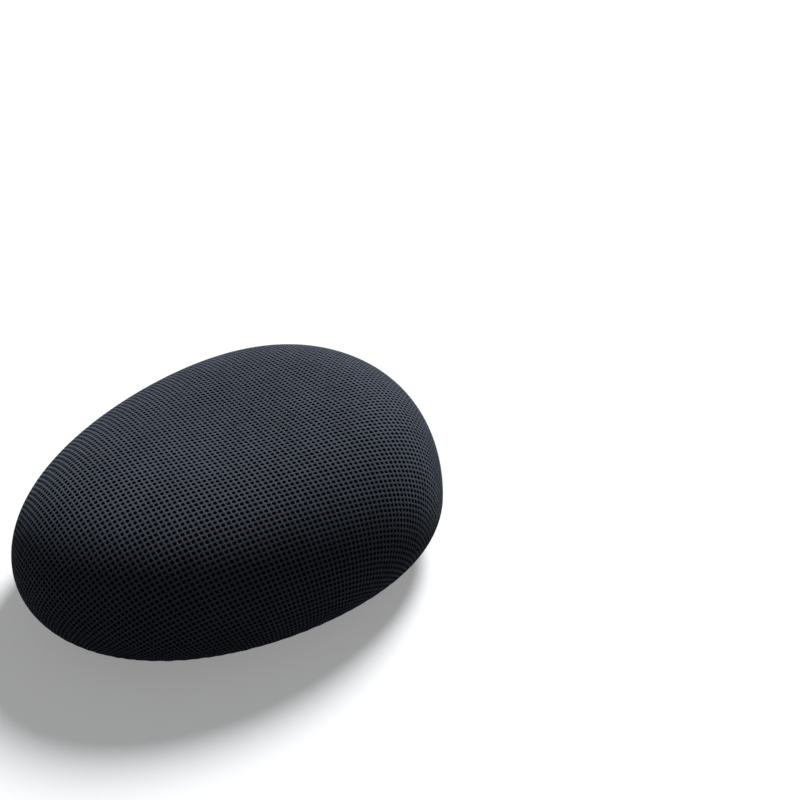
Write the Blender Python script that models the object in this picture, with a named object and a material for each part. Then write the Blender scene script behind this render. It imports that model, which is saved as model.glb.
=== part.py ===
"""A bicycle seat cushion: a foam pad on a ribbed base pan, in a vinyl skin and a gathered mesh cover.

A pressed steel bracket under the pan bolts to the plate on top of a seat post. Metres, +Z up, the nose
along -Y, and the origin in the middle of the bracket's lower face.
"""

import math

import bmesh
import bpy
from mathutils import Vector

MM = 0.001

# The gap that each piece keeps to the piece it rests on.
SEAT_GAP = 0.3 * MM

# The covered pad from above: an egg that is wider at the tail, with slightly squared ends.
PAD_LENGTH = 332 * MM
PAD_WIDTH = 264 * MM
TAIL_FULLNESS = 0.06
END_FULLNESS = 0.08

# The covered pad from the side. Rises are heights over the underside of the cover.
CROWN_RISE = 114 * MM
WIDEST_RISE = 32 * MM
TUCK_DEPTH = 28 * MM
CROWN_FLATNESS = 0.56
TAIL_SLOPE = 0.15
DISH_PER_METRE = 0.23

# The mesh cover turns in under the pad, where the hem draws it into gathers.
COVER_THICKNESS = 3.5 * MM
COVER_TURN_UNDER = 16 * MM
GATHER_DROP = 4 * MM
GATHER_WAVES = (19, 26)
HEM_WIDTH = 6 * MM

# The vinyl skin is stapled to the pan's flange, beyond the hem.
SKIN_THICKNESS = 1.2 * MM
SKIN_MARGIN = 8 * MM

# The base pan: a flat flange all round, a sloping wall, and a deck that carries four bosses.
PAN_THICKNESS = 3.5 * MM
PAN_EDGE_SETBACK = 1 * MM
PAN_EDGE_CHAMFER = 0.8 * MM
FLANGE_MARGIN = 4 * MM
WALL_SHIFT = 1.8 * MM
DECK_SIDE_MARGIN = 15 * MM
DECK_END_MARGIN = 19 * MM
RIB_THICKNESS = 2.5 * MM
RIB_CLEARANCE = 3 * MM
CROSS_RIB_LIFT = 1 * MM
BOSS_RADIUS = 11 * MM
BOSS_LENGTH = 17.7 * MM
VENT_RADIUS = 4 * MM

# The bracket: a pressed channel whose floor is the mounting face.
BRACKET_THICKNESS = 2.5 * MM
BRACKET_DEPTH = 24 * MM
BRACKET_CLEARANCE = 8 * MM
BRACKET_MARGIN = 14 * MM
BRACKET_FLOOR_HALF = 26 * MM
BRACKET_WALL_RUN = 9 * MM
BRACKET_BEND_RADIUS = 4 * MM
BRACKET_CORNER_RADIUS = 9 * MM
SLOT_WIDTH = 8.5 * MM
SLOT_LENGTH = 16 * MM
SLOT_X = 21 * MM
SLOT_Y = 12 * MM

# Four bolts with washers hold the bracket to threaded inserts in the bosses.
BOLT_X = 24 * MM
BOLT_RADIUS = 4 * MM
BOLT_LENGTH = 20 * MM
BOLT_HEAD_HALF = 6.5 * MM
BOLT_HEAD_HEIGHT = 5.3 * MM
BOLT_CHAMFER = 0.8 * MM
BOLT_HOLE_CLEARANCE = 0.5 * MM
WASHER_RADIUS = 8 * MM
WASHER_BEND_CLEARANCE = 1 * MM
WASHER_THICKNESS = 1.6 * MM
SPRING_WASHER_RADIUS = 7 * MM
SPRING_WASHER_THICKNESS = 2 * MM
SPRING_WASHER_SLIT = 0.35
SPRING_WASHER_TWIST = 0.5 * MM
INSERT_RADIUS = 6 * MM
INSERT_LENGTH = 13.5 * MM
INSERT_GROOVE = 0.7 * MM
INSERT_POCKET_DEPTH = 15.5 * MM

# How finely curved pieces are divided.
COVER_STEPS = 72
PAD_STEPS = 36
DOME_RINGS = 9
TUCK_RINGS = 4
GATHER_RINGS = 3
TURNED_STEPS = 16
BEND_STEPS = 4
SLOT_STEPS = 6

# Heights, insets and places that follow from the sizes above.
BEND_END_Y = BRACKET_FLOOR_HALF + BRACKET_WALL_RUN + BRACKET_BEND_RADIUS
BOLT_Y = BEND_END_Y + WASHER_BEND_CLEARANCE + WASHER_RADIUS
COVER_BOTTOM = BRACKET_CLEARANCE
SKIN_DEPTH = COVER_THICKNESS + SEAT_GAP
FOAM_DEPTH = SKIN_DEPTH + SKIN_THICKNESS + SEAT_GAP
HEM_INSET = TUCK_DEPTH + COVER_TURN_UNDER + SEAT_GAP
SKIN_EDGE_INSET = HEM_INSET + HEM_WIDTH + SKIN_MARGIN
PAN_EDGE_INSET = TUCK_DEPTH + PAN_EDGE_SETBACK
PAN_WALL_INSET = SKIN_EDGE_INSET + FLANGE_MARGIN
PAN_FLANGE_BOTTOM = COVER_BOTTOM + FOAM_DEPTH
PAN_FLANGE_TOP = PAN_FLANGE_BOTTOM + PAN_THICKNESS
BOSS_BOTTOM = BRACKET_DEPTH + SEAT_GAP
DECK_BOTTOM = BOSS_BOTTOM + BOSS_LENGTH
DECK_TOP = DECK_BOTTOM + PAN_THICKNESS
DECK_MIDDLE = (DECK_BOTTOM + DECK_TOP) / 2
DECK_HALF_X = BOLT_X + BOSS_RADIUS + DECK_SIDE_MARGIN
DECK_HALF_Y = BOLT_Y + BOSS_RADIUS + DECK_END_MARGIN
RIB_BOTTOM = BRACKET_DEPTH + RIB_CLEARANCE
BRACKET_FLANGE_BOTTOM = BRACKET_DEPTH - BRACKET_THICKNESS
WASHER_TOP = BRACKET_FLANGE_BOTTOM - SEAT_GAP
SPRING_WASHER_TOP = WASHER_TOP - WASHER_THICKNESS - SEAT_GAP
BOLT_HEAD_TOP = SPRING_WASHER_TOP - SPRING_WASHER_THICKNESS - SPRING_WASHER_TWIST - SEAT_GAP
BOLT_PLACES = {
    "front_left": (BOLT_X, -BOLT_Y),
    "front_right": (-BOLT_X, -BOLT_Y),
    "rear_left": (BOLT_X, BOLT_Y),
    "rear_right": (-BOLT_X, BOLT_Y),
}


def clear_scene():
    for item in list(bpy.data.objects):
        bpy.data.objects.remove(item, do_unlink=True)


def make_material(name, colour, roughness, metallic=0.0):
    material = bpy.data.materials.new(name)
    material.use_nodes = True
    shader = material.node_tree.nodes["Principled BSDF"]
    shader.inputs["Base Color"].default_value = (*colour, 1.0)
    shader.inputs["Roughness"].default_value = roughness
    shader.inputs["Metallic"].default_value = metallic
    return material


def add_piece(name, mesh_data, material, sharp_degrees=40):
    """Turns a bmesh into a smooth-shaded object with its faces pointing out."""
    bmesh.ops.recalc_face_normals(mesh_data, faces=mesh_data.faces)
    mesh = bpy.data.meshes.new(name)
    mesh_data.to_mesh(mesh)
    mesh_data.free()
    mesh.shade_smooth()
    mesh.set_sharp_from_angle(angle=math.radians(sharp_degrees))
    piece = bpy.data.objects.new(name, mesh)
    bpy.context.collection.objects.link(piece)
    if material:
        mesh.materials.append(material)
    return piece


def hide_cutter(cutter):
    cutter.hide_render = True
    cutter.display_type = "WIRE"


def combine(piece, other, operation, solver="EXACT"):
    """Joins or cuts a piece with a helper object that the model itself leaves out."""
    hide_cutter(other)
    modifier = piece.modifiers.new(other.name, "BOOLEAN")
    modifier.operation = operation
    modifier.solver = solver
    modifier.object = other


def join_rings(mesh_data, first, second, split):
    """Bridges two rings of vertices, either of which may be a single tip."""
    count = max(len(first), len(second))
    for k in range(count):
        after = (k + 1) % count
        if len(first) == 1:
            corners = [(first[0], second[after], second[k])]
        elif len(second) == 1:
            corners = [(first[k], first[after], second[0])]
        elif split:
            corners = [(first[k], first[after], second[after]), (first[k], second[after], second[k])]
        else:
            corners = [(first[k], first[after], second[after], second[k])]
        for face in corners:
            mesh_data.faces.new(face)


def add_rings(mesh_data, rings, closed=False, split=False):
    """Bridges a list of rings of points. The last is joined to the first if closed, or else both are capped.

    Split makes triangles that run the same way in each piece, so that curved layers nest without touching.
    """
    rows = [[mesh_data.verts.new(point) for point in ring] for ring in rings]
    for first, second in zip(rows, rows[1:]):
        join_rings(mesh_data, first, second, split)
    if closed:
        join_rings(mesh_data, rows[-1], rows[0], split)
        return
    for end in (rows[0], rows[-1]):
        if len(end) > 1:
            mesh_data.faces.new(end)


def turns(steps):
    return [2 * math.pi * k / steps for k in range(steps)]


def outline_point(turn):
    """The widest outline of the covered pad, from above."""
    side, along = math.cos(turn), math.sin(turn)
    fullness = 1 + TAIL_FULLNESS * along + END_FULLNESS * along * along
    return Vector((PAD_WIDTH / 2 * side * fullness, PAD_LENGTH / 2 * along, 0))


def inset_point(turn, inset, height):
    """A point at a distance inside the outline, square to it."""
    step = 0.001
    run = outline_point(turn + step) - outline_point(turn - step)
    outward = Vector((run.y, -run.x, 0)).normalized()
    point = outline_point(turn) - outward * inset
    return Vector((point.x, point.y, height))


def surface_point(turn, sweep):
    """The outside of the cover. Sweep is 0 at the crown, 90 degrees where the pad is widest, 180 below."""
    if sweep <= math.pi / 2:
        point = outline_point(turn) * math.sin(sweep) ** CROWN_FLATNESS
        crown = CROWN_RISE + TAIL_SLOPE * point.y + DISH_PER_METRE * point.y * point.y
        point.z = COVER_BOTTOM + WIDEST_RISE + (crown - WIDEST_RISE) * math.cos(sweep)
        return point
    inset = TUCK_DEPTH * (1 - math.sin(sweep))
    return inset_point(turn, inset, COVER_BOTTOM + WIDEST_RISE * (1 + math.cos(sweep)))


def layer_point(turn, sweep, depth):
    """A point at a depth under the outside of the cover, square to it."""
    step = 0.002
    sweep_before = max(sweep - step, step / 4)
    sweep_after = min(max(sweep + step, step), math.pi)
    middle = (sweep_before + sweep_after) / 2
    down = surface_point(turn, sweep_after) - surface_point(turn, sweep_before)
    round_it = surface_point(turn + step, middle) - surface_point(turn - step, middle)
    return surface_point(turn, sweep) - down.cross(round_it).normalized() * depth


def dome_sweeps():
    """Sweeps from just below the crown to the bottom of the tuck, closer together where it bends."""
    dome = [math.pi / 2 * (k / DOME_RINGS) ** 1.5 for k in range(1, DOME_RINGS + 1)]
    tuck = [math.pi / 2 * (1 + k / TUCK_RINGS) for k in range(1, TUCK_RINGS + 1)]
    return dome + tuck


def layer_rings(depth, steps):
    """The rings of one layer of the pad, from its crown down to the bottom of its tuck."""
    crown = surface_point(0, 0) - Vector((0, 0, depth))
    rings = [[layer_point(turn, sweep, depth) for turn in turns(steps)] for sweep in dome_sweeps()]
    return [[crown]] + rings


def gather_drop(turn, inset):
    """How far the drawn-in fabric hangs down at a point of its turned-under edge."""
    share = (inset - TUCK_DEPTH) / COVER_TURN_UNDER
    grown = min(max(share, 0), 1) ** 1.5
    wave = math.sin(GATHER_WAVES[0] * turn) + math.sin(GATHER_WAVES[1] * turn + 1)
    return GATHER_DROP * grown * (0.5 + wave / 4)


def make_mesh_cover(material):
    outer = layer_rings(0, COVER_STEPS)
    inner = layer_rings(COVER_THICKNESS, COVER_STEPS)
    under, over = [], []
    for k in range(1, GATHER_RINGS + 1):
        inset = TUCK_DEPTH + COVER_TURN_UNDER * k / GATHER_RINGS
        drops = [(turn, COVER_BOTTOM - gather_drop(turn, inset)) for turn in turns(COVER_STEPS)]
        under.append([inset_point(turn, inset, height) for turn, height in drops])
        over.append([inset_point(turn, inset, height + COVER_THICKNESS) for turn, height in drops])
    mesh_data = bmesh.new()
    add_rings(mesh_data, outer + under + over[::-1] + inner[::-1], split=True)
    return add_piece("mesh_cover", mesh_data, material)


def make_elastic_hem(material):
    """The bound elastic edge, a flat band as thick as the cover that follows its gathers."""
    half = COVER_THICKNESS / 2
    corner = half / 2
    section = [(0, -corner), (corner, -half), (HEM_WIDTH - corner, -half)]
    section += [(HEM_WIDTH, -corner), (HEM_WIDTH, corner), (HEM_WIDTH - corner, half)]
    section += [(corner, half), (0, corner)]
    rings = []
    for across, height in section:
        ring = []
        for turn in turns(COVER_STEPS):
            middle = COVER_BOTTOM + half - gather_drop(turn, HEM_INSET)
            ring.append(inset_point(turn, HEM_INSET + across, middle + height))
        rings.append(ring)
    mesh_data = bmesh.new()
    add_rings(mesh_data, rings, closed=True)
    return add_piece("elastic_hem", mesh_data, material)


def make_vinyl_skin(material):
    outer = layer_rings(SKIN_DEPTH, PAD_STEPS)
    inner = layer_rings(SKIN_DEPTH + SKIN_THICKNESS, PAD_STEPS)
    bottom = COVER_BOTTOM + SKIN_DEPTH
    edge = [
        [inset_point(turn, SKIN_EDGE_INSET, bottom) for turn in turns(PAD_STEPS)],
        [inset_point(turn, SKIN_EDGE_INSET, bottom + SKIN_THICKNESS) for turn in turns(PAD_STEPS)],
    ]
    mesh_data = bmesh.new()
    add_rings(mesh_data, outer + edge + inner[::-1], split=True)
    return add_piece("vinyl_skin", mesh_data, material)


def inset_ring(inset, height):
    return [inset_point(turn, inset, height) for turn in turns(PAD_STEPS)]


def deck_ring(growth, height):
    """The edge of the pan's deck, an oval that holds the bosses."""
    half_x, half_y = DECK_HALF_X + growth, DECK_HALF_Y + growth
    return [Vector((half_x * math.cos(turn), half_y * math.sin(turn), height)) for turn in turns(PAD_STEPS)]


def make_foam_pad(material):
    """The foam fills the skin and sits on the pan, with a step that takes the pan's edge."""
    seat = PAN_FLANGE_TOP + SEAT_GAP
    under = [
        deck_ring(SEAT_GAP, DECK_TOP + SEAT_GAP),
        inset_ring(PAN_WALL_INSET - SEAT_GAP, seat),
        inset_ring(PAN_EDGE_INSET - SEAT_GAP, seat),
        inset_ring(PAN_EDGE_INSET - SEAT_GAP, COVER_BOTTOM + FOAM_DEPTH),
    ]
    mesh_data = bmesh.new()
    add_rings(mesh_data, under + layer_rings(FOAM_DEPTH, PAD_STEPS)[::-1], split=True)
    return add_piece("foam_pad", mesh_data, material)


def make_rib_space():
    """The room under the pan as far up as the middle of its plastic, to which the ribs are trimmed."""
    flange_middle = (PAN_FLANGE_BOTTOM + PAN_FLANGE_TOP) / 2
    upper = deck_ring(-WALL_SHIFT / 2, DECK_MIDDLE)
    lower = inset_ring(PAN_WALL_INSET + WALL_SHIFT / 2, flange_middle)
    mesh_data = bmesh.new()
    add_rings(mesh_data, [upper, lower])
    return add_piece("rib_space", mesh_data, None)


def make_ribs(name, places, along, bottom, space):
    """Straight ribs the whole way across the pan, along axis 0 or 1."""
    top = DECK_TOP
    mesh_data = bmesh.new()
    for place in places:
        half = [RIB_THICKNESS / 2, RIB_THICKNESS / 2]
        middle = [place, place]
        half[along], middle[along] = PAD_LENGTH / 2, 0
        corners = [
            (middle[0] + side_x * half[0], middle[1] + side_y * half[1])
            for side_x, side_y in ((-1, -1), (1, -1), (1, 1), (-1, 1))
        ]
        add_rings(mesh_data, [[(x, y, z) for x, y in corners] for z in (bottom, top)])
    ribs = add_piece(name, mesh_data, None)
    combine(ribs, space, "INTERSECT")
    return ribs


def circle(radius, height, steps=TURNED_STEPS, centre=(0, 0)):
    return [
        Vector((centre[0] + radius * math.cos(turn), centre[1] + radius * math.sin(turn), height))
        for turn in turns(steps)
    ]


def make_posts(name, places, radius, bottom, top):
    mesh_data = bmesh.new()
    for place in places:
        add_rings(mesh_data, [circle(radius, height, centre=place) for height in (bottom, top)])
    return add_piece(name, mesh_data, None)


def make_base_pan(material):
    """One moulding: flange, sloping wall and deck, with crossed ribs and four bosses underneath."""
    rings = [
        deck_ring(0, DECK_TOP),
        inset_ring(PAN_WALL_INSET, PAN_FLANGE_TOP),
        inset_ring(PAN_EDGE_INSET + PAN_EDGE_CHAMFER, PAN_FLANGE_TOP),
        inset_ring(PAN_EDGE_INSET, PAN_FLANGE_TOP - PAN_EDGE_CHAMFER),
        inset_ring(PAN_EDGE_INSET, PAN_FLANGE_BOTTOM + PAN_EDGE_CHAMFER),
        inset_ring(PAN_EDGE_INSET + PAN_EDGE_CHAMFER, PAN_FLANGE_BOTTOM),
        inset_ring(PAN_WALL_INSET + WALL_SHIFT, PAN_FLANGE_BOTTOM),
        deck_ring(-WALL_SHIFT, DECK_BOTTOM),
    ]
    mesh_data = bmesh.new()
    add_rings(mesh_data, rings, split=True)
    pan = add_piece("base_pan", mesh_data, material)
    vents = [(side * BOLT_X / 2, end * BOLT_Y / 2) for side in (-1, 1) for end in (-1, 1)]
    bosses = BOLT_PLACES.values()
    space = make_rib_space()
    cross_ribs = make_ribs("cross_ribs", (-BOLT_Y, 0, BOLT_Y), 0, RIB_BOTTOM + CROSS_RIB_LIFT, space)
    long_ribs = make_ribs("long_ribs", (-BOLT_X, 0, BOLT_X), 1, RIB_BOTTOM, space)
    pocket_top = BOSS_BOTTOM + INSERT_POCKET_DEPTH
    pocket_radius = INSERT_RADIUS + SEAT_GAP
    below_boss, below_deck = BOSS_BOTTOM - PAN_THICKNESS, DECK_BOTTOM - PAN_THICKNESS
    above = DECK_TOP + PAN_THICKNESS
    changes = [
        (make_posts("bosses", bosses, BOSS_RADIUS, BOSS_BOTTOM, DECK_MIDDLE), "UNION"),
        (cross_ribs, "UNION"),
        (long_ribs, "UNION"),
        (make_posts("pockets", bosses, pocket_radius, below_boss, pocket_top), "DIFFERENCE"),
        (make_posts("vents", vents, VENT_RADIUS, below_deck, above), "DIFFERENCE"),
    ]
    for helper, operation in changes:
        combine(pan, helper, operation, "MANIFOLD")
    return pan


def bend(centre, radius, start, end):
    """Points of an arc in the bracket's section, from one angle in degrees to another."""
    angles = [math.radians(start + (end - start) * k / BEND_STEPS) for k in range(BEND_STEPS + 1)]
    return [(centre[0] + radius * math.cos(a), centre[1] + radius * math.sin(a)) for a in angles]


def bracket_section():
    """One half of the bracket's section in Y and Z, from the middle of its floor to its flange's end."""
    thick, radius = BRACKET_THICKNESS, BRACKET_BEND_RADIUS
    lean = math.degrees(math.atan2(BRACKET_WALL_RUN, BRACKET_DEPTH - BRACKET_THICKNESS))
    lower = (BRACKET_FLOOR_HALF - radius, radius + thick)
    upper = (BRACKET_FLOOR_HALF + BRACKET_WALL_RUN + radius + thick, BRACKET_DEPTH - radius - thick)
    end = BOLT_Y + BRACKET_MARGIN
    outside = [(0, 0)] + bend(lower, radius + thick, -90, -lean)
    outside += bend(upper, radius, 180 - lean, 90) + [(end, BRACKET_DEPTH - thick)]
    inside = [(0, thick)] + bend(lower, radius, -90, -lean)
    inside += bend(upper, radius + thick, 180 - lean, 90) + [(end, BRACKET_DEPTH)]
    return outside, inside


def add_slot(mesh_data, x, y, length, width, bottom, top):
    """An upright prism with round ends, long in X."""
    reach = (length - width) / 2
    outline = []
    for side, start in ((1, -90), (-1, 90)):
        for k in range(SLOT_STEPS + 1):
            angle = math.radians(start + 180 * k / SLOT_STEPS)
            px = x + side * reach + width / 2 * math.cos(angle)
            outline.append((px, y + width / 2 * math.sin(angle)))
    add_rings(mesh_data, [[(px, py, z) for px, py in outline] for z in (bottom, top)])


def make_mounting_bracket(material):
    """A pressed steel channel across the pan: floor, two leaning walls and two bolted flanges."""
    outside, inside = bracket_section()
    below = [(-y, z) for y, z in reversed(outside[1:])] + outside[1:]
    above = [(-y, z) for y, z in reversed(inside[1:])] + inside[1:]
    outline = below + above[::-1]
    half = BOLT_X + BRACKET_MARGIN
    mesh_data = bmesh.new()
    add_rings(mesh_data, [[(x, y, z) for y, z in outline] for x in (-half, half)])
    end = BOLT_Y + BRACKET_MARGIN
    corners = []
    for edge in mesh_data.edges:
        first, second = (vertex.co for vertex in edge.verts)
        at_end = abs(abs(first.y) - end) < MM / 10 and abs(abs(second.y) - end) < MM / 10
        if at_end and abs(first.x - second.x) < MM / 10:
            corners.append(edge)
    radius = BRACKET_CORNER_RADIUS
    bmesh.ops.bevel(mesh_data, geom=corners, offset=radius, segments=BEND_STEPS, affect="EDGES", profile=0.5)
    bracket = add_piece("mounting_bracket", mesh_data, material, 30)
    slots = bmesh.new()
    for x in (-SLOT_X, SLOT_X):
        for y in (-SLOT_Y, SLOT_Y):
            add_slot(slots, x, y, SLOT_LENGTH, SLOT_WIDTH, -BRACKET_THICKNESS, 2 * BRACKET_THICKNESS)
    combine(bracket, add_piece("slots", slots, None), "DIFFERENCE")
    hole_radius = BOLT_RADIUS + BOLT_HOLE_CLEARANCE
    bottom, top = BRACKET_FLANGE_BOTTOM - BRACKET_THICKNESS, BRACKET_DEPTH + BRACKET_THICKNESS
    holes = make_posts("bolt_holes", BOLT_PLACES.values(), hole_radius, bottom, top)
    combine(bracket, holes, "DIFFERENCE")
    return bracket


def turned(profile):
    """Rings of a turned piece from a list of radius and height, where a radius of 0 is a tip."""
    return [[Vector((0, 0, z))] if r == 0 else circle(r, z) for r, z in profile]


def hexagon(half_width, height, limit):
    """A ring shaped as a hexagon, with its corners held within a radius."""
    ring = []
    for turn in turns(TURNED_STEPS * 3 // 2):
        off_middle = math.remainder(turn, math.pi / 3)
        radius = min(half_width / math.cos(off_middle), limit)
        ring.append(Vector((radius * math.cos(turn), radius * math.sin(turn), height)))
    return ring


def make_bolt(name, place, material):
    """A hexagon-head bolt that points up, with its height 0 under the head."""
    steps = TURNED_STEPS * 3 // 2
    corner = BOLT_HEAD_HALF / math.cos(math.pi / 6)
    rounded = (corner + BOLT_HEAD_HALF) / 2
    low, lower = -BOLT_HEAD_HEIGHT + BOLT_CHAMFER, -BOLT_HEAD_HEIGHT
    rings = [
        [Vector((0, 0, BOLT_LENGTH))],
        circle(BOLT_RADIUS - BOLT_CHAMFER, BOLT_LENGTH, steps),
        circle(BOLT_RADIUS, BOLT_LENGTH - BOLT_CHAMFER, steps),
        circle(BOLT_RADIUS, 0, steps),
        hexagon(BOLT_HEAD_HALF, 0, corner),
        hexagon(BOLT_HEAD_HALF, low, corner),
        hexagon(BOLT_HEAD_HALF - BOLT_CHAMFER / 2, lower, rounded - BOLT_CHAMFER),
        [Vector((0, 0, lower))],
    ]
    mesh_data = bmesh.new()
    add_rings(mesh_data, rings)
    bolt = add_piece(name, mesh_data, material, 25)
    bolt.location = (*place, BOLT_HEAD_TOP)


def make_washer(name, place, material):
    inner = BOLT_RADIUS + BOLT_HOLE_CLEARANCE
    section = [(inner, 0), (WASHER_RADIUS, 0), (WASHER_RADIUS, -WASHER_THICKNESS), (inner, -WASHER_THICKNESS)]
    mesh_data = bmesh.new()
    add_rings(mesh_data, turned(section), closed=True)
    washer = add_piece(name, mesh_data, material, 30)
    washer.location = (*place, WASHER_TOP)


def make_spring_washer(name, place, material):
    """A split ring that climbs a little from one end of its slit to the other."""
    inner, outer = BOLT_RADIUS + BOLT_HOLE_CLEARANCE, SPRING_WASHER_RADIUS
    top = -SPRING_WASHER_TWIST
    sections = []
    for k in range(TURNED_STEPS + 1):
        turn = SPRING_WASHER_SLIT / 2 + (2 * math.pi - SPRING_WASHER_SLIT) * k / TURNED_STEPS
        rise = SPRING_WASHER_TWIST * k / TURNED_STEPS
        section = []
        for radius, height in ((inner, top), (outer, top), (outer, top - SPRING_WASHER_THICKNESS),
                               (inner, top - SPRING_WASHER_THICKNESS)):
            section.append(Vector((radius * math.cos(turn), radius * math.sin(turn), height + rise)))
        sections.append(section)
    mesh_data = bmesh.new()
    add_rings(mesh_data, sections)
    washer = add_piece(name, mesh_data, material, 30)
    washer.location = (*place, SPRING_WASHER_TOP)


def make_insert(name, place, material):
    """A threaded insert with a groove round its middle, pressed into its boss."""
    bore = BOLT_RADIUS + SEAT_GAP
    third = INSERT_LENGTH / 3
    groove = INSERT_RADIUS - INSERT_GROOVE
    section = [
        (bore, 0),
        (INSERT_RADIUS, 0),
        (INSERT_RADIUS, third),
        (groove, third),
        (groove, 2 * third),
        (INSERT_RADIUS, 2 * third),
        (INSERT_RADIUS, INSERT_LENGTH),
        (bore, INSERT_LENGTH),
    ]
    mesh_data = bmesh.new()
    add_rings(mesh_data, turned(section), closed=True)
    insert = add_piece(name, mesh_data, material, 30)
    insert.location = (*place, BOSS_BOTTOM + SEAT_GAP)


def make_fasteners(steel, brass):
    for corner, place in BOLT_PLACES.items():
        make_bolt(f"bolt_{corner}", place, steel)
        make_washer(f"flat_washer_{corner}", place, steel)
        make_spring_washer(f"spring_washer_{corner}", place, steel)
        make_insert(f"threaded_insert_{corner}", place, brass)


def main():
    clear_scene()
    make_mesh_cover(make_material("knitted_mesh", (0.013, 0.014, 0.016), 0.85))
    make_elastic_hem(make_material("hem_tape", (0.010, 0.010, 0.011), 0.8))
    make_vinyl_skin(make_material("vinyl", (0.02, 0.02, 0.021), 0.45))
    make_foam_pad(make_material("foam", (0.08, 0.08, 0.085), 0.95))
    make_base_pan(make_material("moulded_plastic", (0.018, 0.018, 0.019), 0.5))
    make_mounting_bracket(make_material("painted_steel", (0.015, 0.015, 0.016), 0.4))
    steel = make_material("plated_steel", (0.55, 0.56, 0.57), 0.3, 1.0)
    brass = make_material("brass", (0.6, 0.45, 0.2), 0.35, 1.0)
    make_fasteners(steel, brass)


main()
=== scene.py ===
"""The look of the bicycle seat cushion: knitted cover, soft parts, materials, light and camera."""

import math

import bpy
import numpy as np
from mathutils import Matrix, Vector


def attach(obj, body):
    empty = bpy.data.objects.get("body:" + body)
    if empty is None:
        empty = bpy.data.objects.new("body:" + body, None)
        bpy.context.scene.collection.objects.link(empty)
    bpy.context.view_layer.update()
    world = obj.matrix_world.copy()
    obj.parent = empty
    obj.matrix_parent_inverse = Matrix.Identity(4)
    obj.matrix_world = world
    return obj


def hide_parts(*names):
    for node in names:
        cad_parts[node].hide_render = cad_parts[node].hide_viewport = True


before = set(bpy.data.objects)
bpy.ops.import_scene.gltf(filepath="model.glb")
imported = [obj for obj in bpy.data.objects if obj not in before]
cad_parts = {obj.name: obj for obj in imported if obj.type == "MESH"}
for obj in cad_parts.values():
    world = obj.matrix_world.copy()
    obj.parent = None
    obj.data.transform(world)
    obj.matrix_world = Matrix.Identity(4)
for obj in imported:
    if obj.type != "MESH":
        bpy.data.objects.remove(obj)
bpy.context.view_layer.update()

MM = 0.001
TAU = 2 * np.pi
TINY = 1e-15
random = np.random.default_rng(7)

# The covered pad's form, as in the CAD.
PAD_LENGTH = 332 * MM
PAD_WIDTH = 264 * MM
TAIL_FULLNESS = 0.06
END_FULLNESS = 0.08
CROWN_RISE = 114 * MM
WIDEST_RISE = 32 * MM
TUCK_DEPTH = 28 * MM
CROWN_FLATNESS = 0.56
TAIL_SLOPE = 0.15
DISH_PER_METRE = 0.23
COVER_BOTTOM = 8 * MM
COVER_TURN_UNDER = 16 * MM
GATHER_DROP = 4 * MM
GATHER_WAVES = (19, 26)
HEM_INSET = 44.3 * MM
HEM_WIDTH = 6 * MM
SKIN_DEPTH = 3.8 * MM
SKIN_THICKNESS = 1.2 * MM
SKIN_EDGE_INSET = 58.3 * MM

# The knitted fabric: the two lattice vectors between its holes at the crown.
LATTICE_ROW = 3.55 * MM * np.array([math.cos(math.radians(-6.3)), math.sin(math.radians(-6.3))])
LATTICE_COLUMN = 3.58 * MM * np.array([math.cos(math.radians(61.7)), math.sin(math.radians(61.7))])
LATTICE_REACH = 90

# How the fabric slides as it is drawn over the pad, as polynomials in the unrolled place over
# FLOW_UNIT: {(power of x, power of y): millimetres}. They hold within a reach of the crown that is
# shorter on the far side. Beyond it the slide stays as it is there.
FLOW_UNIT = 150 * MM
FLOW_REACH = 170 * MM
FLOW_FAR_CUT = 70 * MM
FLOW_FAR_TURN = math.radians(138)
FLOW_FADE = 14 * MM
FLOW_STEPS = 14
FLOW_X = {
    (2, 0): 8.9, (1, 1): 39.3, (0, 2): 7.8, (3, 0): 1.6, (2, 1): 2.7, (1, 2): -6.4,
    (0, 3): 23.5, (4, 0): -5.9, (3, 1): -10.2, (2, 2): 1.3, (1, 3): -31.6, (0, 4): 2.8,
}
FLOW_Y = {
    (2, 0): -9.8, (1, 1): -27.1, (0, 2): 5.4, (3, 0): 0.6, (2, 1): -24.1, (1, 2): -9.7,
    (0, 3): -13.1, (4, 0): 0.7, (3, 1): 20.1, (2, 2): -3.2, (1, 3): 0.8, (0, 4): -7.2,
}

# The holes and the strands between them.
AROUND_HOLE = [(1, 0), (1, 1), (0, 1), (-1, 1), (-1, 0), (-1, -1), (0, -1), (1, -1)]
HOLE_RADIUS = 1.26 * MM
HOLE_UNEVENNESS = 0.03
HOLE_DRIFT = 0.04 * MM
HOLE_DEPTH = 1.5 * MM
HOLE_STRETCH = 1.14
WALL_TAPER = 0.93
WALL_SHADING = 0.2
KNOT_RISE = 0.07 * MM
RIM_DEPTH = 0.07 * MM
LAST_HOLE_SHARE = 0.995
UNDER_SHARE = 0.815
UV_SCALE = 10
BACKING_DEPTH = 1.9 * MM
BACKING_TURNS = 480

# Fine folds near the hem.
PLEAT_DEPTH = 0.75 * MM
PLEAT_START = 0.80

# The binding on the hem and its stitches, whose shape is places along and radii in millimetres.
BINDING_INSET = HEM_INSET + HEM_WIDTH / 2 - 1.2 * MM
BINDING_HALF_WIDTH = 4.1 * MM
BINDING_HALF_DEPTH = 1.75 * MM
BINDING_RISE = 1.55 * MM
STITCH_PITCH = 3.6 * MM
STITCH_OFFSET = 2.2 * MM
STITCH_SHAPE = [(-1.3, 0.10), (-0.95, 0.30), (0, 0.36), (0.95, 0.30), (1.3, 0.10)]
STITCH_SIDES = 6

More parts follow.
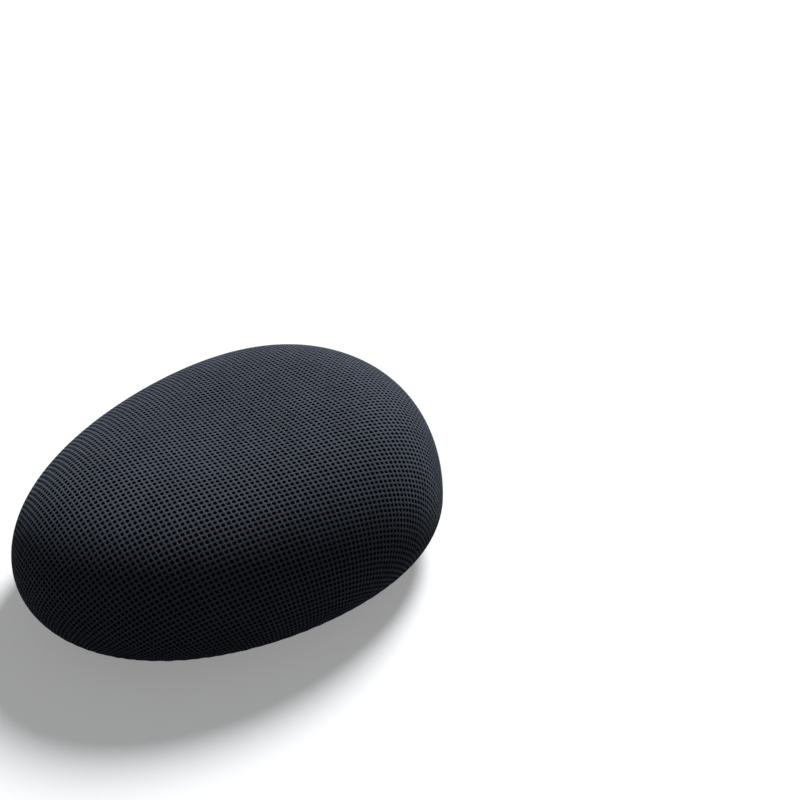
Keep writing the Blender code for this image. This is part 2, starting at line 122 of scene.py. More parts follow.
# The staples: places along and up in millimetres, and the wire's turn there in right angles.
STAPLE_COUNT = 52
STAPLE_INSET = SKIN_EDGE_INSET - 3.5 * MM
STAPLE_LINE_RADIUS = 0.10
STAPLE_SHAPE = [
    (-4.6, 2.0, 1.0), (-4.6, 0.55, 1.0), (-4.45, 0.12, 0.75), (-4.0, 0, 0),
    (4.0, 0, 0), (4.45, 0.12, -0.75), (4.6, 0.55, -1.0), (4.6, 2.0, -1.0),
]
STAPLE_HALF_WIDTH = 0.55
STAPLE_HALF_DEPTH = 0.30
STAPLE_SIDES = 8

# Light and camera, with angles in degrees and lengths in metres.
SUN_AZIMUTH, SUN_ELEVATION = 206, 38
SUN_STRENGTH, SUN_WIDTH = 5.0, 18
SUN_COLOUR = (0.97, 0.985, 1.0)
SKY_STRENGTH = 0.09
SKY_COLOUR = (0.90, 0.95, 1.0)
FLOOR_SIZE, FLOOR_HEIGHT = 12, -0.0003
FLOOR_TO_OBJECT, FLOOR_TO_CAMERA, FLOOR_GLOW = 0.08, 0.72, 0.28
CAMERA_AZIMUTH, CAMERA_ELEVATION = 48.05, 30.54
CAMERA_DISTANCE, CAMERA_RIGHT, CAMERA_UP = 1.1688, 0.1247, 0.0641
CAMERA_LENS, CAMERA_SENSOR = 72, 36
SIGHT_HEIGHT = 0.063


def outline(turn):
    side, along = np.cos(turn), np.sin(turn)
    fullness = 1 + TAIL_FULLNESS * along + END_FULLNESS * along * along
    return np.stack([PAD_WIDTH / 2 * side * fullness, PAD_LENGTH / 2 * along], -1)


def outward(turn):
    run = outline(turn + 0.001) - outline(turn - 0.001)
    normal = np.stack([run[..., 1], -run[..., 0]], -1)
    return normal / np.linalg.norm(normal, axis=-1, keepdims=True)


def inset_point(turn, inset, height):
    """A point a distance inside the outline, square to it."""
    turn, inset, height = np.broadcast_arrays(turn, inset, height)
    flat = outline(turn) - outward(turn) * inset[..., None]
    return np.concatenate([flat, height[..., None]], -1)


def inset_run(inset):
    """Turns round a line inside the outline, and the length of the line up to each."""
    turn = np.linspace(0, TAU, 4000)
    steps = np.linalg.norm(np.diff(inset_point(turn, inset, 0.0), axis=0), axis=1)
    return turn, np.concatenate([[0], np.cumsum(steps)])


def gather_drop(turn, inset):
    """How far the gathers hang below the cover's flat underside."""
    share = np.clip((inset - TUCK_DEPTH) / COVER_TURN_UNDER, 0, 1)
    wave = np.sin(GATHER_WAVES[0] * turn) + np.sin(GATHER_WAVES[1] * turn + 1)
    return GATHER_DROP * share**1.5 * (0.5 + wave / 4)


def uneven_wave(turn, count, sway, sway_count, shift=0):
    """A wave with a count of crests in a turn, whose spacing sways."""
    return np.sin(count * turn + sway * np.sin(sway_count * turn + shift))


def dome_point(turn, sweep):
    flat = outline(turn) * np.sin(sweep)[..., None] ** CROWN_FLATNESS
    along = flat[..., 1]
    crown = CROWN_RISE + TAIL_SLOPE * along + DISH_PER_METRE * along * along
    height = COVER_BOTTOM + WIDEST_RISE + (crown - WIDEST_RISE) * np.cos(sweep)
    return np.concatenate([flat, height[..., None]], -1)


def tuck_point(turn, sweep):
    inset = TUCK_DEPTH * (1 - np.sin(sweep))
    return inset_point(turn, inset, COVER_BOTTOM + WIDEST_RISE * (1 + np.cos(sweep)))


def flow(place):
    """How far the fabric has slid where it lies on the pad, by the unrolled place."""
    radius = np.maximum(np.linalg.norm(place, axis=-1, keepdims=True), 1e-9)
    far = place @ np.array([[math.cos(FLOW_FAR_TURN)], [math.sin(FLOW_FAR_TURN)]]) / radius
    reach = FLOW_REACH - FLOW_FAR_CUT * np.maximum(far, 0)
    held = reach - FLOW_FADE * np.logaddexp(0, (reach - radius) / FLOW_FADE)
    x, y = np.moveaxis(place * held / radius / FLOW_UNIT, -1, 0)
    slides = [
        sum(size * x**a * y**b for (a, b), size in terms.items()) for terms in (FLOW_X, FLOW_Y)
    ]
    return np.stack(slides, -1) * MM


class Surface:
    """The cover's outer face: points by turn and by share of the way from crown to hem."""

    def __init__(self, turns=720, shares=480, dome_steps=320, tuck_steps=90, under_steps=50):
        self.turn = np.linspace(0, TAU, turns, endpoint=False)
        domes = np.pi / 2 * np.linspace(0, 1, dome_steps) ** 2
        tucks = np.linspace(np.pi / 2, np.pi, tuck_steps)[1:]
        insets = np.linspace(TUCK_DEPTH, TUCK_DEPTH + COVER_TURN_UNDER, under_steps)[1:]
        grid = [self.turn[:, None] + 0 * part[None] for part in (domes, tucks, insets)]
        dome = dome_point(grid[0], domes[None] + 0 * grid[0])
        tuck = tuck_point(grid[1], tucks[None] + 0 * grid[1])
        inset = insets[None] + 0 * grid[2]
        under = inset_point(grid[2], inset, COVER_BOTTOM - gather_drop(grid[2], inset))
        path = np.concatenate([dome, tuck, under], 1)
        steps = np.linalg.norm(np.diff(path, axis=1), axis=-1)
        run = np.concatenate([np.zeros((turns, 1)), np.cumsum(steps, 1)], 1)
        self.total = run[:, -1]
        self.share = np.linspace(0, 1, shares)
        self.points = np.empty((turns, shares, 3))
        for k in range(turns):
            wanted = self.share * self.total[k]
            for axis in range(3):
                self.points[k, :, axis] = np.interp(wanted, run[k], path[k, :, axis])
        across = np.roll(self.points, -1, 0) - np.roll(self.points, 1, 0)
        normal = np.cross(np.gradient(self.points, axis=1), across)
        self.normals = normal / np.maximum(np.linalg.norm(normal, axis=-1, keepdims=True), TINY)
        # All turns meet at the crown, so its normals are the mean of those beside it.
        self.normals[:, :3] = self.normals[:, 3:4].mean(0)
        self.normals /= np.linalg.norm(self.normals, axis=-1, keepdims=True)
        edge = outline(self.turn)
        self.angle = np.unwrap(np.arctan2(edge[:, 1], edge[:, 0]))

    def at(self, turn, share):
        """Point and normal for each turn and share."""
        count = len(self.turn)
        row = (turn % TAU) / TAU * count
        low = np.floor(row).astype(int)
        part = (row - low)[..., None]
        column = np.clip(share, 0, 1) * (len(self.share) - 1)
        left = np.minimum(np.floor(column).astype(int), len(self.share) - 2)
        along = (column - left)[..., None]
        found = []
        low, high = low % count, (low + 1) % count
        for table in (self.points, self.normals):
            near = table[low, left] * (1 - part) + table[high, left] * part
            far = table[low, left + 1] * (1 - part) + table[high, left + 1] * part
            found.append(near * (1 - along) + far * along)
        return found[0], found[1]

    def unroll(self, flat):
        """Turn and share of points on the flat fabric. The share passes 1 beyond the hem."""
        place = flat
        for _ in range(FLOW_STEPS):
            place = flat - flow(place)
        radius = np.hypot(place[..., 0], place[..., 1])
        angle = np.arctan2(place[..., 1], place[..., 0])
        angles = np.concatenate([self.angle - TAU, self.angle, self.angle + TAU])
        turns = np.concatenate([self.turn - TAU, self.turn, self.turn + TAU])
        turn = np.interp(angle, angles, turns) % TAU
        ends = np.append(self.total, self.total[0])
        return turn, radius / np.interp(turn, np.append(self.turn, TAU), ends)


def pleats(turn, share):
    """Fine uneven folds that the elastic draws into the cover, growing toward the hem."""
    grown = np.clip((share - PLEAT_START) / (1 - PLEAT_START), 0, 1) ** 1.6
    wave = uneven_wave(turn, 97, 1.7, 11) + 0.6 * uneven_wave(turn, 61, 2.1, 7, 1)
    return PLEAT_DEPTH * grown * wave


def add_mesh(name, points, faces, material, normals=None, uvs=None):
    """Makes an object from numpy points and a list of face arrays."""
    mesh = bpy.data.meshes.new(name)
    counts = np.concatenate([np.full(len(part), part.shape[1]) for part in faces])
    corners = np.concatenate([part.ravel() for part in faces])
    mesh.vertices.add(len(points))
    mesh.vertices.foreach_set("co", np.ascontiguousarray(points, np.float32).ravel())
    mesh.loops.add(len(corners))
    mesh.loops.foreach_set("vertex_index", corners.astype(np.int32))
    mesh.polygons.add(len(counts))
    starts = np.concatenate([[0], np.cumsum(counts)[:-1]])
    mesh.polygons.foreach_set("loop_start", starts.astype(np.int32))
    mesh.update(calc_edges=True)
    mesh.validate()
    mesh.shade_smooth()
    if uvs is not None:
        layer = mesh.uv_layers.new(name="fabric")
        layer.data.foreach_set("uv", np.ascontiguousarray(uvs[corners], np.float32).ravel())
    if normals is not None:
        mesh.normals_split_custom_set_from_vertices(normals.tolist())
    mesh.materials.append(material)
    piece = bpy.data.objects.new(name, mesh)
    bpy.context.scene.collection.objects.link(piece)
    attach(piece, "root")
    return piece


def ring_faces(rows, columns, wrap_columns=False):
    """Quads between lines of points, where the last line joins the first."""
    i = np.arange(rows)[:, None]
    j = np.arange(columns if wrap_columns else columns - 1)[None]
    after, beside = (i + 1) % rows, (j + 1) % columns
    first, second = i * columns, after * columns
    quad = [first + j, first + beside, second + beside, second + j]
    return np.stack([np.broadcast_to(part, (rows, j.shape[1])) for part in quad], -1).reshape(-1, 4)


def tube_faces(start, rings, sides):
    """Quads between the rings of an open tube whose points begin at start."""
    faces = []
    for base in range(start, start + (rings - 1) * sides, sides):
        for k in range(sides):
            n = (k + 1) % sides
            faces.append((base + k, base + n, base + sides + n, base + sides + k))
    return faces


def new_material(name, colour, roughness, **sockets):
    """A material, its node tree and its shader, with sockets set by name."""
    material = bpy.data.materials.new(name)
    material.use_nodes = True
    shader = material.node_tree.nodes["Principled BSDF"]
    shader.inputs["Base Color"].default_value = (*colour, 1)
    shader.inputs["Roughness"].default_value = roughness
    for key, value in sockets.items():
        shader.inputs[key.replace("_", " ")].default_value = value
    return material, material.node_tree, shader


def noise(tree, vector, scale, detail):
    node = tree.nodes.new("ShaderNodeTexNoise")
    node.inputs["Scale"].default_value = scale
    node.inputs["Detail"].default_value = detail
    node.inputs["Roughness"].default_value = 0.55
    tree.links.new(vector, node.inputs["Vector"])
    return node.outputs["Fac"]


def ramp(tree, value, low, high):
    """A ramp between two stops, each a place and a colour."""
    node = tree.nodes.new("ShaderNodeValToRGB")
    for element, (place, colour) in zip(node.color_ramp.elements, (low, high)):
        element.position = place
        element.color = (*colour, 1)
    tree.links.new(value, node.inputs["Fac"])
    return node.outputs["Color"]


def bump(tree, shader, height, distance, strength):
    node = tree.nodes.new("ShaderNodeBump")
    node.inputs["Distance"].default_value = distance
    node.inputs["Strength"].default_value = strength
    tree.links.new(height, node.inputs["Height"])
    tree.links.new(node.outputs["Normal"], shader.inputs["Normal"])


def coordinates(tree, kind):
    return tree.nodes.new("ShaderNodeTexCoord").outputs[kind]


def vary_roughness(tree, shader, place, scale, detail, low, high):
    mottle = noise(tree, place, scale, detail)
    rough = ramp(tree, mottle, (0.3, (low,) * 3), (0.7, (high,) * 3))
    tree.links.new(rough, shader.inputs["Roughness"])


def grained_material(name, colour, roughness, scale, detail, distance, strength, **sockets):
    """A plain colour with a fine noise in relief."""
    material, tree, shader = new_material(name, colour, roughness, **sockets)
    height = noise(tree, coordinates(tree, "Object"), scale, detail)
    bump(tree, shader, height, distance, strength)
    return material


def metal_material(name, colour, roughness, scale, detail, low, high):
    """Bare metal whose roughness varies a little."""
    material, tree, shader = new_material(name, colour, roughness, Metallic=1.0)
    vary_roughness(tree, shader, coordinates(tree, "Object"), scale, detail, low, high)
    return material


def yarn_material():
    """Matt blue-black yarn with a slight mottle, and filaments in relief along the fabric."""
    material, tree, shader = new_material(
        "knitted_yarn", (0.079, 0.090, 0.116), 0.85,
        Specular_IOR_Level=0.03, Sheen_Weight=0.10, Sheen_Roughness=0.45,
        Sheen_Tint=(0.80, 0.88, 1.0, 1),
    )
    broad = noise(tree, coordinates(tree, "Object"), 30, 3)
    colour = ramp(tree, broad, (0.3, (0.072, 0.082, 0.106)), (0.7, (0.086, 0.098, 0.126)))
    tree.links.new(colour, shader.inputs["Base Color"])
    wave = tree.nodes.new("ShaderNodeTexWave")
    wave.wave_type = "BANDS"
    wave.bands_direction = "Y"
    wave.inputs["Scale"].default_value = 60
    wave.inputs["Distortion"].default_value = 5
    wave.inputs["Detail"].default_value = 2
    wave.inputs["Detail Scale"].default_value = 2
    tree.links.new(coordinates(tree, "UV"), wave.inputs["Vector"])
    bump(tree, shader, wave.outputs["Fac"], 0.12 * MM, 0.7)
    return material


def shade_backing_material():
    # Near-black, far darker than the yarn: painted shade for the depths of the holes on a real
    # inner layer.
    return grained_material(
        "painted_shade_backing", (0.006, 0.006, 0.007), 0.95, 1500, 2, 0.3 * MM, 0.8,
        Specular_IOR_Level=0.02,
    )


def tape_material():
    return grained_material(
        "hem_tape", (0.020, 0.020, 0.022), 0.85, 1400, 3, 0.15 * MM, 0.8, Sheen_Weight=0.2
    )


def thread_material():
    return grained_material("stitch_thread", (0.030, 0.030, 0.032), 0.6, 3000, 2, 0.05 * MM, 0.6)


def coat_material():
    return grained_material("powder_coat", (0.017, 0.017, 0.018), 0.38, 1300, 2, 0.05 * MM, 0.5)


def zinc_material():
    return metal_material("zinc_plate", (0.60, 0.61, 0.62), 0.32, 400, 4, 0.24, 0.42)


def brass_material():
    return metal_material("turned_brass", (0.66, 0.47, 0.20), 0.3, 500, 3, 0.22, 0.4)


def vinyl_material():
    """Black vinyl with a leather-like grain."""
    material, tree, shader = new_material("vinyl", (0.022, 0.022, 0.023), 0.42)
    cells = tree.nodes.new("ShaderNodeTexVoronoi")
    cells.feature = "DISTANCE_TO_EDGE"
    cells.inputs["Scale"].default_value = 750
    tree.links.new(coordinates(tree, "Object"), cells.inputs["Vector"])
    grain = ramp(tree, cells.outputs["Distance"], (0.0, (0, 0, 0)), (0.18, (1, 1, 1)))
    bump(tree, shader, grain, 0.08 * MM, 0.7)
    return material


def foam_material():
    """Open-cell foam."""
    material, tree, shader = new_material(
        "foam", (0.075, 0.075, 0.080), 0.95, Specular_IOR_Level=0.1
    )
    cells = tree.nodes.new("ShaderNodeTexVoronoi")
    cells.inputs["Scale"].default_value = 900
    tree.links.new(coordinates(tree, "Object"), cells.inputs["Vector"])
    bump(tree, shader, cells.outputs["Distance"], 0.5 * MM, 0.9)
    return material


def plastic_material():
    """Moulded plastic with a fine texture."""
    material, tree, shader = new_material("moulded_plastic", (0.020, 0.020, 0.021), 0.5)
    place = coordinates(tree, "Object")
    vary_roughness(tree, shader, place, 90, 4, 0.42, 0.58)
    bump(tree, shader, noise(tree, place, 2600, 2), 0.06 * MM, 0.6)
    return material


def lattice_cells(surface):
    """Whole-number places of the fabric's holes from the crown to the hem."""
    steps = np.arange(-LATTICE_REACH, LATTICE_REACH + 1)
    i, j = np.meshgrid(steps, steps, indexing="ij")
    i, j = i.ravel(), j.ravel()
    flat = i[:, None] * LATTICE_ROW + j[:, None] * LATTICE_COLUMN
    kept = surface.unroll(flat)[1] < LAST_HOLE_SHARE
    return i[kept], j[kept]


def strand_points(i, j):
    """The points that holes share: flat places, lifts, and the eight that stand round each hole."""
    stride = 100000
    keys = np.stack([(2 * i + a) * stride + (2 * j + b) for a, b in AROUND_HOLE], 1)
    unique, where = np.unique(keys, return_inverse=True)
    row = np.round(unique / stride).astype(int)
    column = unique - row * stride
    flat = row[:, None] / 2 * LATTICE_ROW + column[:, None] / 2 * LATTICE_COLUMN
    knot = (row % 2 != 0) & (column % 2 != 0)
    return flat, np.where(knot, KNOT_RISE, 0.0), where.reshape(len(i), len(AROUND_HOLE))


def hole_rims(i, j):
    """Each hole's centre and the steps to its rim, stretched along the lattice's diagonal."""
    centre = i[:, None] * LATTICE_ROW + j[:, None] * LATTICE_COLUMN
    centre = centre + random.normal(0, HOLE_DRIFT, centre.shape)
    size = HOLE_RADIUS * (1 + random.normal(0, HOLE_UNEVENNESS, len(i)))
    spokes = np.array([a * LATTICE_ROW + b * LATTICE_COLUMN for a, b in AROUND_HOLE])
    bearing = np.arctan2(spokes[:, 1], spokes[:, 0])
    along = LATTICE_ROW + LATTICE_COLUMN
    along = along / np.linalg.norm(along)
    across = np.array([-along[1], along[0]])
    stretch = HOLE_STRETCH * np.outer(along, along) + np.outer(across, across) / HOLE_STRETCH
    steps = np.stack([np.cos(bearing), np.sin(bearing)], -1) @ stretch
    return centre, size[:, None, None] * steps[None]


def net_normals(points, quads):
    """Shared normals in which every second quad, a hole's wall, counts for less."""
    a, b, c, d = (points[quads[:, k]] for k in range(4))
    facing = np.cross(c - a, d - b)
    facing[1::2] *= WALL_SHADING
    smooth = np.zeros_like(points)
    for k in range(4):
        np.add.at(smooth, quads[:, k], facing)
    return smooth / np.maximum(np.linalg.norm(smooth, axis=1, keepdims=True), TINY)


def make_net(surface, material, painted_wall_shade):
    """The knitted face: a strand net whose every hole has a rounded rim and a wall coloured
    near-black as painted shade.
    """
    i, j = lattice_cells(surface)
    count, sides = len(i), len(AROUND_HOLE)
    strand_flat, strand_lift, where = strand_points(i, j)
    centre, rim_step = hole_rims(i, j)
    rim_flat = (centre[:, None] + rim_step).reshape(-1, 2)
    wall_flat = (centre[:, None] + WALL_TAPER * rim_step).reshape(-1, 2)
    flats = np.concatenate([strand_flat, rim_flat, wall_flat])
    rim_lift, wall_lift = np.full(len(rim_flat), -RIM_DEPTH), np.full(len(wall_flat), -HOLE_DEPTH)
    lifts = np.concatenate([strand_lift, rim_lift, wall_lift])
    turn, share = surface.unroll(flats)
    share = np.minimum(share, 1)
    points, normals = surface.at(turn, share)
    points = points + normals * (lifts + pleats(turn, share))[:, None]

    rim = len(strand_flat) + np.arange(count * sides).reshape(count, sides)
    wall = rim + count * sides
    quads = []
    for k in range(sides):
        n = (k + 1) % sides
        quads.append(np.stack([where[:, k], where[:, n], rim[:, n], rim[:, k]], 1))
        quads.append(np.stack([rim[:, k], rim[:, n], wall[:, n], wall[:, k]], 1))
    quads = np.stack(quads, 1)
    smooth = net_normals(points, quads.reshape(-1, 4))

    centre_turn, centre_share = surface.unroll(centre)
    place = surface.at(centre_turn, centre_share)[0]
    parts = {
        "mesh_knit_left": (centre_share < UNDER_SHARE) & (place[:, 0] >= 0),
        "mesh_knit_right": (centre_share < UNDER_SHARE) & (place[:, 0] < 0),
        "mesh_knit_under": centre_share >= UNDER_SHARE,
    }
    made = []
    for name, chosen in parts.items():
        faces = quads[chosen].reshape(-1, 4)
        used, renamed = np.unique(faces, return_inverse=True)
        renamed = renamed.reshape(-1, 4)
        uvs = flats[used] * UV_SCALE
        piece = add_mesh(
            name, points[used], [renamed], material, smooth[used], uvs
        )
        # Every second quad, a hole's wall, takes the near-black backing material: painted shade
        # inside the holes.
        piece.data.materials.append(painted_wall_shade)
        piece.data.polygons.foreach_set("material_index", np.tile([0, 1], len(faces) // 2))
        made.append(piece)
    return made


def make_backing(surface, material):
    """The fabric's inner layer, seen through the holes; its near-black colour is painted shade."""
    shares = np.concatenate([np.linspace(0.004, 0.75, 60), np.linspace(0.76, 0.995, 40)])
    turns = np.linspace(0, TAU, BACKING_TURNS, endpoint=False)
    turn, share = np.meshgrid(turns, shares, indexing="ij")
    points, normals = surface.at(turn, share)
    points = points + normals * (-BACKING_DEPTH + pleats(turn, share))[..., None]
    faces = [ring_faces(*turn.shape), (np.arange(BACKING_TURNS) * len(shares))[None]]
    return add_mesh("mesh_backing", points.reshape(-1, 3), faces, material)


def make_hem(material):
    """The elastic tape that binds the cover's edge, ruched where it is drawn in."""
    turns, sides = 1440, 12
    turn = np.linspace(0, TAU, turns, endpoint=False)[:, None]
    around = np.linspace(0, TAU, sides, endpoint=False)[None]
    ruche = 1 + 0.10 * uneven_wave(turn, 180, 1.5, 13)
    across, through = np.cos(around), np.sin(around)
    across = np.sign(across) * np.abs(across) ** 0.6
    through = np.sign(through) * np.abs(through) ** 0.7
    inset = BINDING_INSET + across * BINDING_HALF_WIDTH
    drop = gather_drop(turn, np.full_like(turn, TUCK_DEPTH + COVER_TURN_UNDER))
    height = COVER_BOTTOM + BINDING_RISE - drop + through * BINDING_HALF_DEPTH * ruche
    points = inset_point(turn + 0 * around, inset + 0 * turn, height)
    faces = [ring_faces(turns, sides, True)]
    return add_mesh("hem_binding", points.reshape(-1, 3), faces, material)


def make_stitches(material):
    """Two rows of short stitches along the binding."""
    points, faces = [], []
    rise = np.array([0, 0, 1.0])
    for inset in (BINDING_INSET - STITCH_OFFSET, BINDING_INSET + STITCH_OFFSET):
        dense, run = inset_run(inset)
        number = int(run[-1] / STITCH_PITCH)
        for start in np.arange(number) * run[-1] / number:
            turn = np.interp(start, run, dense)
            drop = gather_drop(turn, TUCK_DEPTH + COVER_TURN_UNDER)
            place = inset_point(turn, inset, COVER_BOTTOM - 0.02 * MM - drop)
            side = outward(turn)
            ahead = np.array([-side[1], side[0], 0])
            side = np.array([*side, 0])
            faces += tube_faces(len(points), len(STITCH_SHAPE), STITCH_SIDES)
            for along, radius in STITCH_SHAPE:
                for k in range(STITCH_SIDES):
                    angle = TAU * k / STITCH_SIDES
                    step = radius * (math.cos(angle) * side + math.sin(angle) * rise)
                    points.append(place + MM * (along * ahead + step))
    return add_mesh("hem_stitches", np.array(points), [np.array(faces)], material)


def staple_turns():
    """The turns of the staples, almost evenly along their line."""
    dense, run = inset_run(STAPLE_INSET)
    places = np.arange(STAPLE_COUNT) + random.uniform(-0.12, 0.12, STAPLE_COUNT)
    return np.interp(places * run[-1] / STAPLE_COUNT, run, dense)


def make_skin(surface, turns_of_staples, material):
    """The vinyl skin: the whole dome, turned in under the pad and pleated to the pan's flange."""
    turns = 960
    turn = np.linspace(0, TAU, turns, endpoint=False)
    grid, share = np.meshgrid(turn, np.linspace(0.004, 0.90, 50), indexing="ij")
    points, normals = surface.at(grid, share)
    outer = points - normals * SKIN_DEPTH
    tuck_end = COVER_BOTTOM + SKIN_DEPTH
    keep = (share[0] < 0.5) | (outer[:, :, 2].min(0) > tuck_end + 1.5 * MM)
    outer = outer[:, keep]

    insets = np.linspace(TUCK_DEPTH + 2 * MM, SKIN_EDGE_INSET, 22)
    grid, inset = np.meshgrid(turn, insets, indexing="ij")
    grown = np.clip((inset - TUCK_DEPTH - 4 * MM) / (26 * MM), 0, 1)
    fold = uneven_wave(grid, 73, 1.8, 9) * 0.6 + uneven_wave(grid, 41, 1.2, 5) * 0.4
    fold = np.sign(fold) * np.abs(fold) ** 0.7
    away = np.min(np.abs((grid[..., None] - turns_of_staples + np.pi) % TAU - np.pi), -1)
    beside, off_line = away * STAPLE_LINE_RADIUS, inset - STAPLE_INSET
    pressed = np.exp(-((beside / (4 * MM)) ** 2) - (off_line / (3 * MM)) ** 2)
    height = tuck_end - 0.5 * MM * grown * (fold + 0.4) * (1 - pressed) + 0.2 * MM * pressed
    edge_wave = 0.9 * MM * uneven_wave(grid, 37, 2, 6) * (inset - TUCK_DEPTH) / (30 * MM)
    under = inset_point(grid, inset + edge_wave, height)

    lip = under[:, -1:] + np.array([0, 0, 0.6 * MM])
    back = under[:, ::-3].copy()
    back[..., 2] = tuck_end + SKIN_THICKNESS
    points = np.concatenate([outer, under, lip, back], 1)
    faces = [ring_faces(turns, points.shape[1]), (np.arange(turns) * points.shape[1])[None]]
    return add_mesh("vinyl_cushion", points.reshape(-1, 3), faces, material)


def make_staples(turns_of_staples, material):
    """Wire staples that hold the skin's edge to the pan's flange."""
    points, faces = [], []
    rise = np.array([0, 0, 1.0])
    for turn in turns_of_staples:
        inset = STAPLE_INSET + random.normal(0, 0.4 * MM)
        place = inset_point(turn, inset, COVER_BOTTOM + SKIN_DEPTH + 0.05 * MM)
        lean = random.normal(0, 0.10)
        side = outward(turn)
        ahead = np.array([-side[1], side[0]]) * math.cos(lean) + side * math.sin(lean)
        ahead = np.array([*ahead, 0])
        side = np.cross(rise, ahead)
        faces += tube_faces(len(points), len(STAPLE_SHAPE), STAPLE_SIDES)
        for along, up, tilt in STAPLE_SHAPE:
            flat = math.cos(tilt * np.pi / 2) * rise + math.sin(tilt * np.pi / 2) * ahead
            for k in range(STAPLE_SIDES):
                angle = TAU * (k + 0.5) / STAPLE_SIDES
                step = STAPLE_HALF_WIDTH * math.cos(angle) * side
                step = step + STAPLE_HALF_DEPTH * math.sin(angle) * flat
                points.append(place + MM * (along * ahead + up * rise + step))
    return add_mesh("skin_staples", np.array(points), [np.array(faces)], material)


def make_foam(material):
    """The moulded foam, as the CAD's with softened edges."""
    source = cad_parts["foam_pad"]
    piece = bpy.data.objects.new("foam_core", source.data.copy())
    bpy.context.scene.collection.objects.link(piece)
    piece.data.materials.clear()
    piece.data.materials.append(material)
    soften = piece.modifiers.new("soften", "SMOOTH")
    soften.factor = 0.3
    soften.iterations = 2
    piece.data.shade_smooth()
    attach(piece, "root")
    return piece


def finish_rigid(plastic, coat, zinc, brass):
    """Gives the rigid pieces their materials. Their shapes stay the CAD's."""
    finishes = {
        "base_pan": plastic,
        "mounting_bracket": coat,
        "threaded_insert": brass,
        "bolt_": zinc,
        "flat_washer_": zinc,
        "spring_washer_": zinc,
    }
    for name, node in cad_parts.items():
        for start, material in finishes.items():
            if name.startswith(start):
                node.data.materials.clear()
                node.data.materials.append(material)


def any_ray(tree, *kinds):
    """1 for these kinds of ray and 0 for the others."""
    path = tree.nodes.new("ShaderNodeLightPath")
    found = path.outputs[kinds[0]]
    for kind in kinds[1:]:
        either = tree.nodes.new("ShaderNodeMath")
        either.operation = "MAXIMUM"
        tree.links.new(found, either.inputs[0])
        tree.links.new(path.outputs[kind], either.inputs[1])
        found = either.outputs[0]
    return found


def make_floor():
    """A floor that looks white, sends little light up to the object and is clear from below."""
    bpy.ops.mesh.primitive_plane_add(size=FLOOR_SIZE, location=(0, 0, FLOOR_HEIGHT))
    floor = bpy.context.object
    floor.name = "floor"
    material, tree, shader = new_material(
        "floor_white", (0.80, 0.80, 0.80), 0.8, Specular_IOR_Level=0.1, Emission_Color=(1, 1, 1, 1)
    )
    seen = any_ray(tree, "Is Camera Ray", "Is Glossy Ray")
    tint = tree.nodes.new("ShaderNodeMix")
    tint.data_type = "RGBA"
    tint.inputs["A"].default_value = (*(FLOOR_TO_OBJECT,) * 3, 1)
    tint.inputs["B"].default_value = (*(FLOOR_TO_CAMERA,) * 3, 1)
    tree.links.new(seen, tint.inputs["Factor"])
    tree.links.new(tint.outputs["Result"], shader.inputs["Base Color"])
    glow = tree.nodes.new("ShaderNodeMath")
    glow.operation = "MULTIPLY"
    glow.inputs[1].default_value = FLOOR_GLOW
    tree.links.new(seen, glow.inputs[0])
    tree.links.new(glow.outputs[0], shader.inputs["Emission Strength"])
    side = tree.nodes.new("ShaderNodeNewGeometry")
    clear = tree.nodes.new("ShaderNodeBsdfTransparent")
    mix = tree.nodes.new("ShaderNodeMixShader")
    tree.links.new(side.outputs["Backfacing"], mix.inputs["Fac"])
    tree.links.new(shader.outputs["BSDF"], mix.inputs[1])
    tree.links.new(clear.outputs["BSDF"], mix.inputs[2])
    tree.links.new(mix.outputs["Shader"], tree.nodes["Material Output"].inputs["Surface"])
    floor.data.materials.append(material)
    return floor


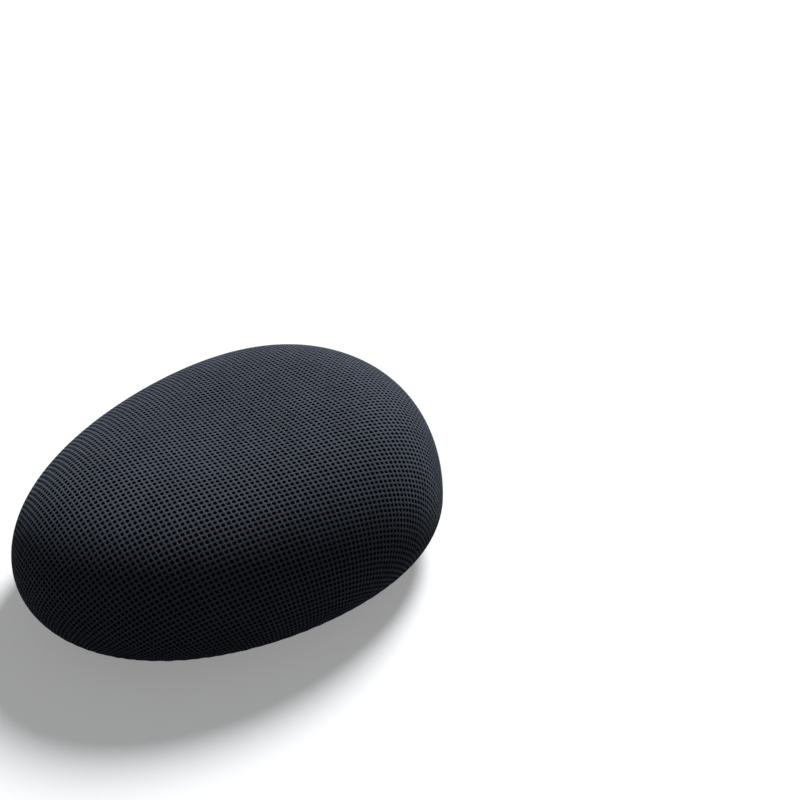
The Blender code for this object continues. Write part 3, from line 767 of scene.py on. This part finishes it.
def make_world():
    """A dim sky for the object, and white for the camera and for what metal shows."""
    world = bpy.data.worlds.new("studio")
    bpy.context.scene.world = world
    world.use_nodes = True
    tree = world.node_tree
    tree.nodes.clear()
    mix = tree.nodes.new("ShaderNodeMixShader")
    seen = any_ray(tree, "Is Camera Ray", "Is Glossy Ray", "Is Transmission Ray")
    tree.links.new(seen, mix.inputs["Fac"])
    skies = ((SKY_COLOUR, SKY_STRENGTH), ((1, 1, 1), 1.0))
    for place, (colour, strength) in enumerate(skies, start=1):
        sky = tree.nodes.new("ShaderNodeBackground")
        sky.inputs["Color"].default_value = (*colour, 1)
        sky.inputs["Strength"].default_value = strength
        tree.links.new(sky.outputs[0], mix.inputs[place])
    out = tree.nodes.new("ShaderNodeOutputWorld")
    tree.links.new(mix.outputs[0], out.inputs["Surface"])


def make_sun():
    data = bpy.data.lights.new("key", "SUN")
    data.energy = SUN_STRENGTH
    data.angle = math.radians(SUN_WIDTH)
    data.color = SUN_COLOUR
    sun = bpy.data.objects.new("key", data)
    bpy.context.scene.collection.objects.link(sun)
    sun.rotation_euler = (math.radians(90 - SUN_ELEVATION), 0, math.radians(SUN_AZIMUTH))
    sun.location = (0, 0, 1)


def make_camera():
    """The photograph's angle, from a fit of the outline to it."""
    azimuth, elevation = math.radians(CAMERA_AZIMUTH), math.radians(CAMERA_ELEVATION)
    back = Vector((
        math.sin(azimuth) * math.cos(elevation),
        -math.cos(azimuth) * math.cos(elevation),
        math.sin(elevation),
    ))
    right = Vector((math.cos(azimuth), math.sin(azimuth), 0))
    up = back.cross(right)
    data = bpy.data.cameras.new("camera")
    data.sensor_width = CAMERA_SENSOR
    data.lens = CAMERA_LENS
    data.clip_start = 0.05
    data.clip_end = 50
    camera = bpy.data.objects.new("camera", data)
    bpy.context.scene.collection.objects.link(camera)
    place = Vector((0, 0, SIGHT_HEIGHT)) + CAMERA_DISTANCE * back
    place = place + CAMERA_RIGHT * right + CAMERA_UP * up
    rotation = Matrix((right, up, back)).transposed().to_4x4()
    camera.matrix_world = Matrix.Translation(place) @ rotation
    bpy.context.scene.camera = camera


surface = Surface()
yarn = yarn_material()
zinc = zinc_material()
backing = shade_backing_material()
net = make_net(surface, yarn, backing)
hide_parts("mesh_cover")
make_backing(surface, backing)
hem = make_hem(tape_material())
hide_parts("elastic_hem")
make_stitches(thread_material())
places = staple_turns()
skin = make_skin(surface, places, vinyl_material())
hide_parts("vinyl_skin")
make_staples(places, zinc)
foam = make_foam(foam_material())
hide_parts("foam_pad")
finish_rigid(plastic_material(), coat_material(), zinc, brass_material())
make_floor()
make_world()
make_sun()
make_camera()
bpy.context.scene.view_settings.view_transform = "Standard"
